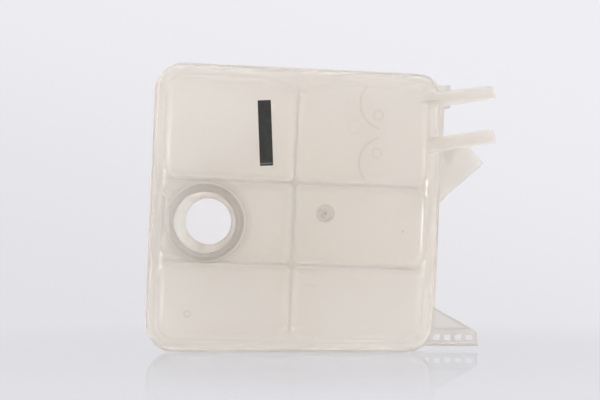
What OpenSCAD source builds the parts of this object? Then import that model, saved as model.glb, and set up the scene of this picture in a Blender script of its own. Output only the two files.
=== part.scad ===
// Coolant expansion tank of an engine bay: two moulded halves, welded at a thin flange.
// The tank stands on its lower edge. The filler neck faces -Y and the rear half faces +Y.
// Places on the pillowed halves are given as p, across from the left edge, and q, up from the foot.

/* [Body outline] */
// Width of the flange outline at the foot
body_w = 205.2; // [190:0.1:230]
// Height of the flange outline on the middle line
body_h = 203; // [192:0.5:230]
// Lean of the left edge to the right, in degrees
left_lean = 2.46; // [0:0.01:4]
// Lean of the right edge to the right, in degrees
right_lean = 1.97; // [0:0.01:4]
// How far the right edge bows out at half height
right_bow = 1.9; // [0:0.1:3]
// Fall of the top edge to the right, in degrees
top_fall = 2.73; // [0:0.01:4]
// Corner radius at the bottom left
corner_bl = 21; // [14:0.1:26]
// Corner radius at the top left
corner_tl = 20.7; // [14:0.1:26]
// Corner radius at the top right
corner_tr = 15.7; // [14:0.1:26]
// Corner radius at the bottom right
corner_br = 17.9; // [14:0.1:26]

/* [Halves] */
// Depth of the front half, from the weld plane to its cushions
front_depth = 48; // [42:0.5:70]
// Depth of the rear half
rear_depth = 62; // [56:0.5:90]
// Wall thickness of both halves
wall = 2.5; // [1.8:0.1:3]
// Thickness of each half's flange
flange_t = 2; // [1.5:0.1:3]
// How far the flange stands out from the walls
flange_lip = 2.2; // [1.5:0.1:3]
// Width over which the side walls roll into the face
roll_w = 12; // [10:0.1:15]

/* [Cushions] */
// Distance from the left edge to the upright groove
column_w = 103.2; // [95:0.1:112]
// Height of the lower groove on the middle line
low_row_h = 63.7; // [58:0.1:70]
// Height from the lower groove to the upper groove
mid_row_h = 57.2; // [57:0.1:64]
// Fall of the lower groove to the right, in degrees
low_groove_fall = 1.97; // [0:0.01:4]
// Fall of the upper groove to the right, in degrees
high_groove_fall = 2.33; // [0:0.01:4]
// Distance from the outline to the edge of the cushions
cushion_inset = 10.5; // [9:0.1:13]
// Rise of a cushion above the grooves
cushion_h = 3.6; // [2:0.1:4.5]
// Width of a cushion's rounded shoulder
shoulder_w = 6.5; // [5:0.1:9]
// Half the width of a groove's flat floor
groove_half = 0.8; // [0.5:0.1:1.2]
// Corner radius of a cushion at the tank's corners
cushion_r = 14; // [8:0.5:18]
// Corner radius of a cushion where a level groove meets the border
notch_r = 11; // [8:0.5:15]
// Corner radius of a cushion where two grooves cross
cross_r = 6; // [4:0.5:8]
// Width of a cushion's chamfer where the upright groove meets the border
chamfer_w = 26; // [10:0.5:30]
// Height of that chamfer
chamfer_h = 7.5; // [3:0.1:10]
// Extra crown over the middle of a cushion
crown_h = 0.8; // [0:0.1:2]

/* [Baffles] */
// Thickness of the inner walls under the grooves
baffle_t = 2.2; // [1.6:0.1:3]
// Radius of the flow holes through the inner walls
flow_r = 7; // [4:0.5:9]

/* [Filler neck] */
// Distance from the left edge to the neck's axis
neck_in = 42.5; // [40:0.1:50]
// How far the neck's axis lies below the middle of its row
neck_drop = 1.1; // [0:0.1:1.5]
// Height of the neck above the cushions
neck_h = 27; // [20:0.5:40]
// Radius of the bore that the cap's seal slides in
neck_bore_r = 20.7; // [18:0.1:21]
// Wall thickness of the neck
neck_wall = 4; // [3:0.1:4.5]
// Length of the seal bore
seal_bore_l = 22; // [15:0.5:30]
// Radius at the lower end of the filling funnel
funnel_r = 16.2; // [12:0.1:17]
// Wall thickness of the filling funnel
funnel_wall = 1.8; // [1.2:0.1:2.5]
// Distance from the weld plane to the lower end of the funnel
funnel_gap = 6; // [3:0.5:12]
// Height of the thread's crest above the neck
thread_h = 1.8; // [1:0.1:2]
// Rise of the thread in one turn
thread_pitch = 6; // [5:0.1:7]
// Number of turns of the thread
thread_turns = 2.25; // [1.5:0.25:2.5]
// Radius of the collar at the foot of the neck
collar_r = 28.8; // [27.5:0.1:30]
// Height of the collar above the cushions
collar_h = 3; // [2:0.5:5]
// Length of the cap stop beside the collar
cap_stop_l = 9; // [6:0.5:12]
// Direction of the cap stop, in degrees from the right
cap_stop_turn = 145; // [120:1:160]

/* [Hose nipples] */
// Outer radius of the two vent nipples
nipple_r = 5.15; // [4:0.05:6]
// Bore radius of the vent nipples
nipple_bore_r = 2.9; // [2:0.1:3.2]
// Reach of the nipples past the right edge
nipple_reach = 34.9; // [30:0.1:45]
// Height of the upper nipple below the top right corner
nipple_down = 18.6; // [16:0.1:22]
// Spacing of the two nipples
nipple_pitch = 31.3; // [28:0.1:36]
// Distance of the nipples' axes behind the cushions' face
nipple_sink = 6.5; // [6:0.1:9]
// Rise of the upper nipple, in degrees
high_nipple_rise = 6.6; // [0:0.1:12]
// Rise of the lower nipple, in degrees
low_nipple_rise = 8.1; // [0:0.1:12]
// Reach of the shield plate behind the nipples past the right edge
shield_reach = 6.6; // [4:0.1:9]

/* [Outlet] */
// Outer radius of the outlet stub
outlet_r = 13; // [10:0.05:14]
// Bore radius of the outlet stub
outlet_bore_r = 10.2; // [8:0.1:10.5]
// Reach of the outlet stub from the right edge
outlet_reach = 33; // [28:0.1:42]
// Height at which the outlet's axis crosses the right edge
outlet_z = 122.7; // [112:0.1:128]
// Rise of the outlet's axis, in degrees
outlet_rise = 41; // [35:0.5:50]

/* [Bracket] */
// Reach of the slotted bracket past the right foot
bracket_reach = 35.3; // [30:0.1:42]
// Distance of the slotted web behind the weld plane
bracket_back = 39.5; // [30:0.5:44]
// Height of the bracket's underside above the foot
bracket_lift = 2.4; // [0.5:0.1:5]
// Depth of the bracket's base plate, front to back
bracket_depth = 25; // [18:0.5:30]
// Thickness of the bracket's plates
bracket_t = 2.2; // [1.6:0.1:3]
// Height of the slotted rail
rail_h = 12.6; // [10:0.1:14]
// Spacing of the slots in the rail
slot_pitch = 7.8; // [7:0.1:9]
// Width of a slot
slot_w = 4.7; // [3:0.1:5.5]
// Height of a slot
slot_h = 3.6; // [2:0.1:5]

/* [Strip] */
// Width of the black strip
strip_w = 9.2; // [6:0.1:14]
// Length of the black strip
strip_l = 45.5; // [30:0.5:50]
// Thickness of the black strip
strip_t = 0.9; // [0.5:0.1:2]
// Distance from the upright groove to the middle of the strip
strip_in = 21.8; // [21.8:0.1:40]
// Distance of the strip's middle below the top edge
strip_down = 48.6; // [38:0.1:52]
// Lean of the strip's foot to the right, in degrees
strip_lean = 2.05; // [0:0.05:4]

/* [Hidden] */
$fn = 72;

natural = [0.87, 0.85, 0.81, 0.75];
black = [0.07, 0.07, 0.065];

// Exponent of the side walls' rolled section
roll_power = 2.5;
// Steps of the rolled walls and of the cushions' shoulders, outside and inside
outer_steps = [5, 3];
inner_steps = [3, 2];
baffle_steps = 5;
// Distance over which a cushion's crown builds up
crown_w = 16;
// How far cutting shapes reach past what they cut
over = 1;

low_groove = low_row_h;
high_groove = low_row_h + mid_row_h;
face_y = -front_depth;
rim_y = -front_depth - neck_h;

// Sections of a half: inset where the wall starts, depth there, full depth,
// roll width, cushion inset, half the groove floor and shoulder width.
function outer_section(depth) =
    [flange_lip, flange_t, depth, roll_w, cushion_inset, groove_half, shoulder_w];
function inner_section(depth, thick) =
    [flange_lip + thick, 0, depth - thick, roll_w - thick,
     cushion_inset + thick / 2, groove_half + thick, shoulder_w - thick];

// Edges of the outline at height q, and the fall of the grid's rows
function left_edge(q) = -body_w / 2 + q * tan(left_lean);
function right_edge(q) = body_w / 2 + q * tan(right_lean);
function row_fall(q) =
    lookup(q, [[0, 0], [low_groove, low_groove_fall],
               [high_groove, high_groove_fall], [body_h, top_fall]]);

// Real place of a point p, q of the outline's own grid
function real_x(p, q) =
    left_edge(q) + (right_edge(q) - left_edge(q)) * p / body_w
    + right_bow * 4 * q / body_h * (1 - q / body_h) * max(0, 2 * p / body_w - 1);
function real_z(p, q) = q - tan(row_fall(q)) * real_x(p, q);

function corner_radius(left, low) =
    left ? (low ? corner_bl : corner_tl) : (low ? corner_br : corner_tr);

// A grid point near a corner swings onto the corner's arc, so that border lines keep their inset
function swing(a, b) =
    let(m = max(a, b), t = 45 * min(a, b) / m)
    a >= b ? [m * cos(t), m * sin(t)] : [m * sin(t), m * cos(t)];
function rounded(p, q) =
    let(left = p < body_w / 2,
        low = q < body_h / 2,
        r = corner_radius(left, low),
        a = r - (left ? p : body_w - p),
        b = r - (low ? q : body_h - q),
        s = a > 0 && b > 0 ? swing(a, b) : [a, b])
    [left ? r - s[0] : body_w - r + s[0], low ? r - s[1] : body_h - r + s[1]];

// Distance inward from a rectangle whose nearest corner has radius r
function inward(p_in, q_in, r) =
    r > p_in && r > q_in ? r - norm([r - p_in, r - q_in]) : min(p_in, q_in);
function outline_inset(p, q) =
    let(left = p < body_w / 2, low = q < body_h / 2)
    inward(left ? p : body_w - p, low ? q : body_h - q, corner_radius(left, low));

// Distance inward from the edge of the cushion that p, q lies on
function cushion_depth(p, q, edge, floor) =
    let(left = p < column_w,
        row = q < low_groove ? 0 : q < high_groove ? 1 : 2,
        p_low = left ? edge : column_w + floor,
        p_high = left ? column_w - floor : body_w - edge,
        q_low = row == 0 ? edge : (row == 1 ? low_groove : high_groove) + floor,
        q_high = row == 2 ? body_h - edge : (row == 0 ? low_groove : high_groove) - floor,
        near_left = p < (p_low + p_high) / 2,
        near_low = q < (q_low + q_high) / 2,
        outer_p = near_left == left,
        outer_q = near_low ? row == 0 : row == 2,
        p_in = near_left ? p - p_low : p_high - p,
        q_in = near_low ? q - q_low : q_high - q,
        r = outer_p ? (outer_q ? cushion_r : notch_r) : cross_r)
    outer_q && !outer_p ? min(inward(p_in, q_in, r), inside_chamfer(p_in, q_in)) : inward(p_in, q_in, r);
function inside_chamfer(p_in, q_in) =
    (p_in / chamfer_w + q_in / chamfer_h - 1) * chamfer_w * chamfer_h / norm([chamfer_w, chamfer_h]);

// Rise from 0 to 1 over width w: rolled side wall, rounded shoulder and low crown
function share(d, w) = min(max(d / w, 0), 1);
function roll_rise(d, w) = pow(1 - pow(1 - share(d, w), roll_power), 1 / roll_power);
function arc_rise(d, w) = sqrt(1 - pow(1 - share(d, w), 2));
function crown_rise(d) = 1 - pow(1 - share(d, crown_w), 2);

// Depth of a half's surface from the weld plane
function surface_depth(p, q, k) =
    let(c = cushion_depth(p, q, k[4], k[5]))
    k[1] + (k[2] - k[1] - cushion_h - crown_h) * roll_rise(outline_inset(p, q) - k[0], k[3])
    + cushion_h * arc_rise(c, k[6]) + crown_h * crown_rise(c);

// Grid lines across a border and across a groove: n_roll and n_arc set how fine they are
function border_lines(k, n_roll, n_arc) =
    concat(k[1] > 0 ? [0] : [],
           [for (n = [0:n_roll - 1]) k[0] + k[3] * (1 - pow(cos(90 * n / n_roll), 2 / roll_power))],
           [for (n = [0:n_arc]) k[4] + k[6] * (1 - cos(90 * n / n_arc))],
           [k[4] + crown_w]);
function groove_lines(k, n_arc) =
    concat([for (n = [0:n_arc]) k[5] + k[6] * (1 - cos(90 * n / n_arc))], [k[5] + crown_w]);
function backwards(list) = [for (n = [len(list) - 1:-1:0]) list[n]];
function around(place, list) =
    concat([for (d = backwards(list)) place - d], [for (d = list) place + d]);
function far_side(size, list) = [for (d = backwards(list)) size - d];
function p_lines(k, n_roll, n_arc) =
    let(border = border_lines(k, n_roll, n_arc), groove = groove_lines(k, n_arc))
    concat(border, around(column_w, groove), far_side(body_w, border));
function q_lines(k, n_roll, n_arc) =
    let(border = border_lines(k, n_roll, n_arc), groove = groove_lines(k, n_arc))
    concat(border, around(low_groove, groove), around(high_groove, groove), far_side(body_h, border));

// One half's surface as a closed solid: its grid, a skirt down to skirt_y and a flat back
module pillow(k, n_roll, n_arc, skirt_y) {
    ps = p_lines(k, n_roll, n_arc);
    qs = q_lines(k, n_roll, n_arc);
    nx = len(ps) - 1;
    nz = len(qs) - 1;
    flat = [for (q = qs) for (p = ps) rounded(p, q)];
    grid = [for (f = flat) [real_x(f[0], f[1]), -surface_depth(f[0], f[1], k), real_z(f[0], f[1])]];
    function at(i, j) = j * (nx + 1) + i;
    rim = concat([for (i = [0:nx - 1]) at(i, 0)], [for (j = [0:nz - 1]) at(nx, j)],
                 [for (i = [nx:-1:1]) at(i, nz)], [for (j = [nz:-1:1]) at(0, j)]);
    skirt = [for (n = rim) [grid[n][0], skirt_y, grid[n][2]]];
    middle = [0, skirt_y, body_h / 2];
    first = len(grid);
    last = first + len(rim);
    skin = [for (j = [0:nz - 1]) for (i = [0:nx - 1])
        let(a = at(i, j), b = at(i + 1, j), c = at(i + 1, j + 1), d = at(i, j + 1),
            rising = (ps[i] < body_w / 2) == (qs[j] < body_h / 2))
        each (rising ? [[a, d, c], [a, c, b]] : [[a, d, b], [b, d, c]])];
    sides = [for (n = [0:len(rim) - 1])
        let(m = (n + 1) % len(rim))
        each [[rim[n], rim[m], first + m], [rim[n], first + m, first + n], [last, first + n, first + m]]];
    polyhedron(points = concat(grid, skirt, [middle]), faces = concat(skin, sides));
}

// The solid block of a half and the hollow inside it
module half_block(depth) {
    pillow(outer_section(depth), outer_steps[0], outer_steps[1], 0);
}
module half_hollow(depth) {
    pillow(inner_section(depth, wall), inner_steps[0], inner_steps[1], over);
}

// Place on the outside of the tank, seen from the front: x across, y up, z out of the weld plane
module facing_front(place) {
    translate([place[0], 0, place[1]])
    rotate([90, 0, 0])
    children();
}
function real(p, q) = [real_x(p, q), real_z(p, q)];

// Section of an inner wall along a groove, from border to border, as deep as the middle of the wall
function baffle_section(points, depth) =
    let(k = inner_section(depth, wall / 2),
        full = k[2] - cushion_h - crown_h,
        rise = [for (n = [0:baffle_steps]) full * pow(sin(90 * n / baffle_steps), 2 / roll_power)],
        depths = concat(rise, backwards(rise)))
    [for (n = [0:len(points) - 1]) [norm(points[n] - points[0]), depths[n]]];
function baffle_insets(depth) =
    let(k = inner_section(depth, wall / 2))
    [for (n = [0:baffle_steps]) k[0] + k[3] * (1 - pow(cos(90 * n / baffle_steps), 2 / roll_power))];

// An inner wall under a groove, with half-round flow holes at the weld plane
module baffle(points, depth, holes) {
    run = points[len(points) - 1] - points[0];
    translate([points[0][0], 0, points[0][1]])
    rotate([180, -atan2(run[1], run[0]), 0])
    translate([0, 0, -baffle_t / 2])
    linear_extrude(height = baffle_t)
    difference() {
        polygon(baffle_section(points, depth));
        for (hole = holes)
            translate([norm(hole - points[0]), 0])
            circle(r = flow_r);
    }
}
module baffles(depth) {
    insets = baffle_insets(depth);
    upright = concat(insets, far_side(body_h, insets));
    level = concat(insets, far_side(body_w, insets));
    row_middles = [low_groove / 2, (low_groove + high_groove) / 2, (high_groove + body_h) / 2];
    column_middles = [column_w / 2, (column_w + body_w) / 2];
    baffle([for (q = upright) real(column_w, q)], depth, [for (q = row_middles) real(column_w, q)]);
    for (groove = [low_groove, high_groove])
        baffle([for (p = level) real(p, groove)], depth, [for (p = column_middles) real(p, groove)]);
}

// Filler neck: tube, collar and funnel as one turned section, open all the way through
neck_q = low_groove + mid_row_h / 2 - neck_drop;
neck_place = real(neck_in, neck_q);
neck_r = neck_bore_r + neck_wall;
rim_out = front_depth + neck_h;
neck_edge = 0.9;
neck_sink = 2;
seat_out = front_depth - cushion_h - crown_h - wall / 2;
neck_end = seat_out - neck_sink;
seal_end = rim_out - seal_bore_l;
function funnel_at(out) =
    funnel_r + (neck_bore_r - funnel_r) * (out - funnel_gap) / (seal_end - funnel_gap);
module neck() {
    collar_out = front_depth + collar_h;
    fillet_r = min(collar_r - neck_r, neck_h - collar_h) / 2;
    rotate_extrude()
    polygon(concat(
        [[neck_bore_r + neck_edge, rim_out], [neck_r - neck_edge, rim_out], [neck_r, rim_out - neck_edge]],
        [for (t = [0:22.5:90])
            [neck_r + fillet_r * (1 - cos(t)), collar_out + fillet_r * (1 - sin(t))]],
        [[collar_r - neck_edge, collar_out], [collar_r, collar_out - neck_edge], [collar_r, seat_out],
         [neck_r, seat_out], [neck_r, neck_end], [funnel_at(neck_end) + funnel_wall, neck_end],
         [funnel_r + funnel_wall, funnel_gap], [funnel_r, funnel_gap],
         [neck_bore_r, seal_end], [neck_bore_r, rim_out - neck_edge]]));
}

// Thread of the neck: a ridge swept along a helix, fading out at both ends
thread_steps = 24;
thread_root = 0.5;
thread_foot = 1.5;
thread_crest = 0.55;
thread_from_rim = 3.5;
thread_fade = 3;
cap_stop_w = 4;
module thread() {
    last = round(thread_turns * thread_steps);
    low_out = rim_out - thread_from_rim - thread_turns * thread_pitch;
    sections = [for (n = [0:last])
        let(fade = max(0.05, min(1, n / thread_fade, (last - n) / thread_fade)),
            turn = 360 * n / thread_steps,
            out = low_out + thread_pitch * n / thread_steps,
            root = neck_r - thread_root,
            crest = root + (thread_root + thread_h) * fade,
            shape = [[root, -thread_foot], [crest, -thread_crest], [crest, thread_crest], [root, thread_foot]])
        each [for (s = shape) [s[0] * cos(turn), s[0] * sin(turn), out + s[1]]]];
    walls = [for (n = [0:last - 1]) for (c = [0:3])
        let(a = 4 * n + c, b = 4 * n + (c + 1) % 4)
        each [[a, b, b + 4], [a, b + 4, a + 4]]];
    polyhedron(points = sections,
               faces = concat(walls, [[2, 1, 0], [3, 2, 0]],
                              [[4 * last, 4 * last + 1, 4 * last + 2], [4 * last, 4 * last + 2, 4 * last + 3]]));
}
module cap_stop() {
    rotate([0, 0, cap_stop_turn])
    translate([collar_r - over, -cap_stop_w / 2, seat_out])
    cube([cap_stop_l + over, cap_stop_w, front_depth + collar_h / 2 - seat_out]);
}

// Vent nipples: they leave the tank level with the cushions' shoulders, over the right border
nipple_out = front_depth - nipple_sink;
nipple_root = cushion_inset + shoulder_w;
nipple_draft = 0.35;
nipple_clear = 1.5;
nipple_tip_l = 3;
nipple_tip_in = 1.6;
nipple_tip_r = nipple_r - nipple_tip_in;
high_nipple = real(body_w, body_h - nipple_down);
low_nipple = high_nipple - [0, nipple_pitch];
module along_nipple(place, rise) {
    translate([place[0], -nipple_out, place[1]])
    rotate([0, 90 - rise, 0])
    children();
}
module nipple() {
    straight_l = nipple_reach - nipple_tip_l - nipple_clear;
    translate([0, 0, -nipple_root])
    cylinder(r1 = nipple_r + nipple_draft, r2 = nipple_r, h = nipple_root + nipple_clear);
    translate([0, 0, nipple_clear])
    cylinder(r = nipple_r, h = straight_l);
    translate([0, 0, nipple_clear + straight_l])
    cylinder(r1 = nipple_r, r2 = nipple_tip_r, h = nipple_tip_l);
}
module nipple_bore() {
    translate([0, 0, -nipple_root - over])
    cylinder(r = nipple_bore_r, h = nipple_root + nipple_reach + 2 * over);
}

// Shield plate: the flange widened behind the nipples, with a step between them
shield_above = 11.1;
shield_step = 6.3;
shield_foot = 3;
shield_slant = 1;
shield_root = 1.75;
module shield() {
    top = high_nipple[1] + shield_above;
    step = high_nipple[1] - shield_step;
    foot = low_nipple[1] + shield_foot;
    edge = high_nipple[0];
    inner = edge - flange_lip - shield_root;
    rotate([90, 0, 0])
    linear_extrude(height = flange_t)
    polygon([[inner, foot], [edge + shield_reach * 0.2, foot], [edge + shield_reach * 0.35, step],
             [edge + shield_reach, step + shield_slant], [edge + shield_reach, top], [inner, top]]);
}

// Splash walls and posts inside the top right cushion, hung from the front wall
splash_r = 18.3;
splash_t = 1.4;
splash_l = 20;
splash_turn = 118;
high_splash = high_nipple - [40.4, 3.9];
high_splash_start = 137;
low_splash = low_nipple - [41.5, 14.2];
low_splash_start = 102;
post_r = 3.9;
post_bore_r = 2.5;
post_l = 12;
high_post = high_splash - [5.9, 8.2];
low_post = low_splash - [5.9, -7.1];
inside_out = front_depth - wall * 0.6;
module splash_wall(place, start) {
    facing_front(place)
    translate([0, 0, inside_out - splash_l])
    rotate([0, 0, start])
    rotate_extrude(angle = splash_turn)
    translate([splash_r - splash_t / 2, 0])
    square([splash_t, splash_l]);
}
module post(place) {
    facing_front(place)
    translate([0, 0, inside_out - post_l])
    difference() {
        cylinder(r = post_r, h = post_l);
        translate([0, 0, -over])
        cylinder(r = post_bore_r, h = post_l - wall + over);
    }
}
module splash_walls() {
    splash_wall(high_splash, high_splash_start);
    splash_wall(low_splash, low_splash_start);
    post(high_post);
    post(low_post);
}

// Mark of the moulding gate, in the middle cushion on the right: a low disc with a pip
gate_r = 3.1;
gate_rise = 0.3;
gate_pip_rise = 0.8;
gate_place = real(column_w + 21.6, low_groove + 36.4);
module gate_mark() {
    facing_front(gate_place)
    translate([0, 0, inside_out]) {
        cylinder(r = gate_r, h = front_depth - inside_out + gate_rise);
        cylinder(r = gate_r / 3, h = front_depth - inside_out + gate_pip_rise);
    }
}

// Outlet stub on the right side of the rear half: drafted until it is clear of the side wall
outlet_tip_l = 1.8;
outlet_tip_in = 0.9;
outlet_tip_r = outlet_r - outlet_tip_in;
outlet_draft = 0.5;
outlet_root = 2 * outlet_r;
outlet_clear = outlet_r * tan(outlet_rise) + flange_t / 4;
outlet_place = [real_x(body_w, outlet_z), outlet_z];
module along_outlet() {
    translate([outlet_place[0], rear_depth / 2, outlet_place[1]])
    rotate([0, 90 - outlet_rise, 0])
    children();
}
module outlet() {
    straight_l = outlet_reach - outlet_tip_l - outlet_clear;
    translate([0, 0, -outlet_root])
    cylinder(r1 = outlet_r + outlet_draft, r2 = outlet_r, h = outlet_root + outlet_clear);
    translate([0, 0, outlet_clear])
    cylinder(r = outlet_r, h = straight_l);
    translate([0, 0, outlet_clear + straight_l])
    cylinder(r1 = outlet_r, r2 = outlet_tip_r, h = outlet_tip_l);
}
module outlet_bore() {
    translate([0, 0, -outlet_root - over])
    cylinder(r = outlet_bore_r, h = outlet_root + outlet_reach + 2 * over);
}

// Slotted bracket at the foot of the rear half: base plate, rail with slots, gusset and its rim
bracket_x = body_w / 2 + bracket_reach;
bracket_in = body_w / 2 - corner_br;
bracket_slope = 29.7;
rail_t = 6;
rail_top = bracket_lift + rail_h;
nose_in = 3.5;
nose_drop = 0.7;
nose_h = 2.1;
rim_toe = 3;
gusset_t = 1.5;
slot_from_end = 3.6;
slot_up = 2;
slots = 5;
module upright_plate(t) {
    translate([0, bracket_back + t / 2, 0])
    rotate([90, 0, 0])
    linear_extrude(height = t)
    children();
}
module bracket() {
    nose = [bracket_x - nose_in, rail_top - nose_drop];
    high = [bracket_in, nose[1] + (nose[0] - bracket_in) * tan(bracket_slope)];
    translate([bracket_in, bracket_back - bracket_depth / 2, bracket_lift])
    cube([bracket_x - bracket_in, bracket_depth, bracket_t]);
    difference() {
        upright_plate(rail_t)
        polygon([[bracket_in, bracket_lift], [bracket_x, bracket_lift], [bracket_x, nose[1] - nose_h],
                 nose, [bracket_in, nose[1]]]);
        for (n = [0:slots - 1])
            translate([bracket_x - slot_from_end - slot_w - n * slot_pitch,
                       bracket_back - rail_t, bracket_lift + bracket_t + slot_up])
            cube([slot_w, 2 * rail_t, slot_h]);
    }
    upright_plate(gusset_t)
    polygon([[bracket_in, nose[1] - over], [nose[0], nose[1] - over], nose, high]);
    upright_plate(rail_t)
    polygon([high - [0, bracket_t], nose - [rim_toe, bracket_t - rim_toe * tan(bracket_slope)], nose, high]);
}

// Two ribs under the rear half, level with the foot of the flange, on which the tank stands
foot_rib_t = 2.5;
foot_rib_share = 0.7;
foot_rib_l = rear_depth * foot_rib_share;
module foot_ribs() {
    rib_h = flange_lip + roll_w / 2;
    for (p = [column_w / 2, (column_w + body_w) / 2])
        translate([real_x(p, 0) - foot_rib_t / 2, 0, 0])
        rotate([90, 0, 90])
        linear_extrude(height = foot_rib_t)
        polygon([[0, 0], [foot_rib_l, 0], [foot_rib_l + rib_h, rib_h], [0, rib_h]]);
}

// The tank is set with the middle of its box over the origin
x_low = left_edge(corner_bl);
x_high = max(high_nipple[0] + nipple_reach * cos(high_nipple_rise) + nipple_tip_r * sin(high_nipple_rise),
             low_nipple[0] + nipple_reach * cos(low_nipple_rise) + nipple_tip_r * sin(low_nipple_rise),
             bracket_x);
middle_x = (x_low + x_high) / 2;
middle_y = (rear_depth - rim_out) / 2;
module placed() {
    translate([-middle_x, -middle_y, 0])
    children();
}

module front_shell() {
    color(natural)
    placed() {
        difference() {
            union() {
                half_block(front_depth);
                along_nipple(high_nipple, high_nipple_rise) nipple();
                along_nipple(low_nipple, low_nipple_rise) nipple();
            }
            half_hollow(front_depth);
            facing_front(neck_place)
            translate([0, 0, neck_end - over])
            cylinder(r = neck_r - neck_wall / 2, h = rim_out);
            along_nipple(high_nipple, high_nipple_rise) nipple_bore();
            along_nipple(low_nipple, low_nipple_rise) nipple_bore();
        }
        facing_front(neck_place) {
            neck();
            thread();
            cap_stop();
        }
        baffles(front_depth);
        splash_walls();
        gate_mark();
        shield();
    }
}

module rear_shell() {
    color(natural)
    placed() {
        difference() {
            union() {
                mirror([0, 1, 0]) half_block(rear_depth);
                along_outlet() outlet();
                bracket();
                foot_ribs();
            }
            mirror([0, 1, 0]) half_hollow(rear_depth);
            along_outlet() outlet_bore();
        }
        mirror([0, 1, 0]) baffles(rear_depth);
    }
}

module black_strip() {
    q = body_h - strip_down;
    color(black)
    placed()
    translate([real_x(column_w, q) - strip_in, -front_depth - strip_t, real_z(column_w - strip_in, q)])
    rotate([0, -strip_lean, 0])
    translate([-strip_w / 2, 0, -strip_l / 2])
    cube([strip_w, strip_t, strip_l]);
}

front_shell();
rear_shell();
black_strip();
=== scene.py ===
# Looks of a coolant expansion tank: two welded halves of milky moulded plastic and a black foam strip.
# Shapes are worked out in millimetres in the tank's own frame (x across, y back from the weld plane,
# z up from the foot), and finish_piece() moves them into the part's frame.
import math

import bmesh
import bpy
import numpy as np
from mathutils import Matrix, Vector


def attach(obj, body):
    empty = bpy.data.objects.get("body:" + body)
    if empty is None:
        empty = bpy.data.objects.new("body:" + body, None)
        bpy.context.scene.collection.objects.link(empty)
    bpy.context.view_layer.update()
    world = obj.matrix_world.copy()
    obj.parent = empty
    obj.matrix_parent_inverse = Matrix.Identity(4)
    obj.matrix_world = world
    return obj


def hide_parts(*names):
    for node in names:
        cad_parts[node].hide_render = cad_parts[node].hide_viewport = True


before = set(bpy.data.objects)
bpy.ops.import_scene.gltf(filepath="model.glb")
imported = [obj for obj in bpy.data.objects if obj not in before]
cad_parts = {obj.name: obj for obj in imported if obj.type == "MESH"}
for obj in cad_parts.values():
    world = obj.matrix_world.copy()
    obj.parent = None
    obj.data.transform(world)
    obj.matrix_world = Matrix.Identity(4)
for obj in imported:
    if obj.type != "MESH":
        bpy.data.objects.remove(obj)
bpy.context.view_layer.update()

MM = 0.001

# Outline of the body
BODY_W = 205.2
BODY_H = 203.0
LEFT_LEAN = 2.46
RIGHT_LEAN = 1.97
RIGHT_BOW = 1.9
TOP_FALL = 2.73
CORNER_BL = 21.0
CORNER_TL = 20.7
CORNER_TR = 15.7
CORNER_BR = 17.9

# Halves and flange
FRONT_DEPTH = 48.0
REAR_DEPTH = 62.0
WALL = 2.5
FLANGE_T = 2.0
FLANGE_LIP = 2.2
WELD_HAIR = 0.01
ROLL_W = 12.0
ROLL_POWER = 2.5

# Cushions and the grooves between them
COLUMN_W = 103.2
LOW_GROOVE = 63.7
HIGH_GROOVE = LOW_GROOVE + 57.2
LOW_GROOVE_FALL = 1.97
HIGH_GROOVE_FALL = 2.33
CUSHION_INSET = 10.5
CUSHION_H = 3.6
SHOULDER_W = 6.5
GROOVE_HALF = 0.8
CUSHION_R = 14.0
NOTCH_R = 11.0
CROSS_R = 6.0
CHAMFER_W = 26.0
CHAMFER_H = 7.5
CROWN_H = 0.8
CROWN_W = 16.0

# Grids of the outer and the inner surface: steps over roll, shoulder and crown, and the widest cell
OUTER_STEPS = (12, 9, 3)
OUTER_CELL = 5
INNER_STEPS = (7, 5, 2)
INNER_CELL = 8
LEAST_STEP = 0.2

# Corners: steps of a quarter turn on small roundings, and degrees from which an edge counts as sharp
EDGE_STEPS = 6
FILLET_STEPS = 8
TIP_STEPS = 7
ROUNDED_FROM = 40
SHARP_FROM = 32

# Steps of round solids
NECK_STEPS = 128
THROAT_STEPS = 96
OUTLET_STEPS = 72
NIPPLE_STEPS = 48
GATE_STEPS = 40
HOLE_STEPS = 32
SPLASH_STEPS = 24

# Inner walls
INSIDE_SINK = WALL * 0.6
BAFFLE_T = 2.2
BAFFLE_STEPS = 12
FLOW_R = 7.0
SPLASH_R = 18.3
SPLASH_T = 1.4
SPLASH_L = 20.0
SPLASH_TURN = 118.0
# Centres of the splash walls as distance left of and below their nipple's root, with the angle
# they start at, and posts as x, z from those centres
HIGH_SPLASH = (40.4, 3.9, 137.0)
LOW_SPLASH = (41.5, 14.2, 102.0)
HIGH_POST = (-5.9, -8.2)
LOW_POST = (-5.9, 7.1)
POST_R = 3.9
POST_BORE_R = 2.5
POST_L = 12.0

# Mark of the gate, where the plastic entered the mould
GATE_R = 3.1
GATE_RISE = 0.3
GATE_PIP_RISE = 0.8
GATE_PIP_DRAFT = 0.15
GATE_EDGE_W = 0.25
GATE_EDGE_H = 0.12
GATE_IN = 21.6
GATE_UP = 36.4

# Filler neck
NECK_IN = 42.5
NECK_DROP = 1.1
NECK_H = 27.0
NECK_BORE_R = 20.7
NECK_WALL = 4.0
NECK_EDGE = 0.9
SEAL_BORE_L = 22.0
FUNNEL_R = 16.2
FUNNEL_WALL = 1.8
FUNNEL_GAP = 6.0
THREAD_H = 1.8
THREAD_PITCH = 6.0
THREAD_TURNS = 2.25
THREAD_STEPS = 72
THREAD_FADE = 9
THREAD_LEAST = 0.05
THREAD_BELOW_RIM = 3.5
THREAD_SINK = 0.5
THREAD_EDGE = 0.3
# Half heights of the thread's ridge at its root, at the edge of its crest and at its crest
THREAD_HALF_H = (1.5, 0.75, 0.35)
COLLAR_R = 28.8
COLLAR_H = 3.0
CAP_STOP_L = 9.0
CAP_STOP_W = 4.0
CAP_STOP_TURN = 145.0
CAP_STOP_EDGE = 0.6

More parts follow.
